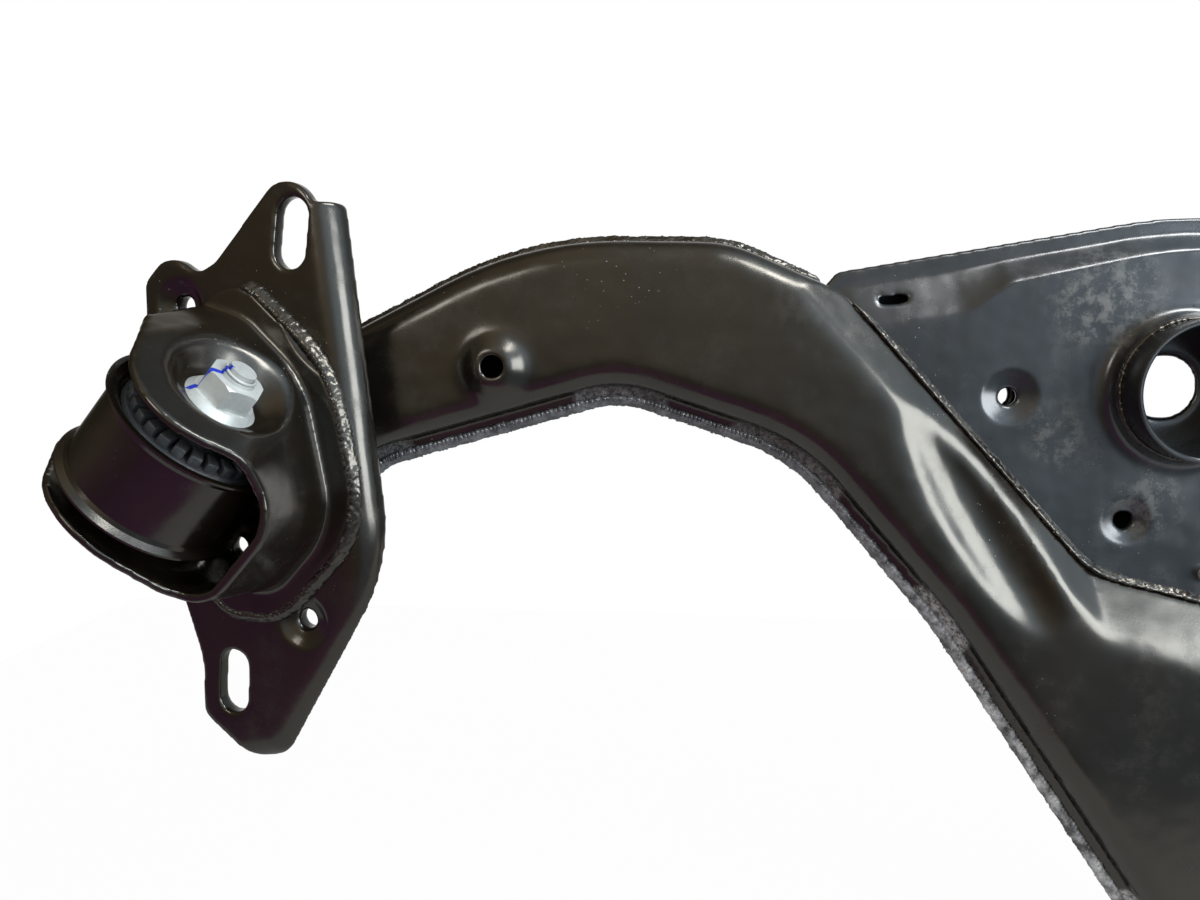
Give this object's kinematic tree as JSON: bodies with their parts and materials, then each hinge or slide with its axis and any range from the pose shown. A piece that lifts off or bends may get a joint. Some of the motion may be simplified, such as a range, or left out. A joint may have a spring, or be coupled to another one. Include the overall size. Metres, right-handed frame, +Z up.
{
  "type": "rear wheel carrier",
  "caption": "Pressed steel trailing arm with a wheel hub tube in a sheet carrier, a rubber front bush and a slotted body bracket",
  "frame": {"origin": "on the hub tube's axis, at the wheel side face of the hub plate", "axes": "+Z is up, -Y points to the wheel along the hub axis, +X runs from the front bush to the tail of the arm"},
  "size_m": [0.595, 0.1511, 0.3856],
  "materials": {
    "bracket_paint": "gloss dip paint over pressed steel",
    "arm_paint": "gloss dip paint over pressed steel",
    "hub_paint": "gloss dip paint over pressed steel",
    "weld_paint": "gloss dip paint over rough weld beads",
    "bush_rubber": "moulded, satin",
    "zinc_steel": "zinc plated"
  },
  "bodies": {
    "bracket": {"mounting_plate": "bracket_paint", "bush_clevis": "bracket_paint", "clevis_weld": "weld_paint", "pivot_bolt": "zinc_steel", "flange_nut": "zinc_steel", "inner_sleeve": "zinc_steel"},
    "carrier": {"arm_front_shell": "arm_paint", "arm_rear_shell": "arm_paint", "arm_lower_weld": "weld_paint", "arm_upper_weld": "weld_paint", "hub_front_plate": "hub_paint", "hub_rear_plate": "hub_paint", "hub_tube": "hub_paint", "hub_tube_weld": "weld_paint", "hub_lap_weld": "weld_paint", "hub_stud": "zinc_steel", "link_sleeve": "arm_paint", "link_sleeve_weld": "weld_paint", "bush_neck": "bracket_paint", "bush_neck_weld": "weld_paint", "bush_housing": "bracket_paint", "bush_housing_weld": "weld_paint", "bush_outer_sleeve": "bracket_paint", "bush_rubber": "bush_rubber"}
  },
  "joints": [
    {"name": "bush_pivot", "type": "hinge", "parent": "bracket", "child": "carrier", "pos_m": [-0.4274, -0.0765, -0.0257], "axis": [0.6729, -0.1186, 0.7302], "range_deg": [-7, 7], "stiffness_Nm_per_rad": 250}
  ]
}
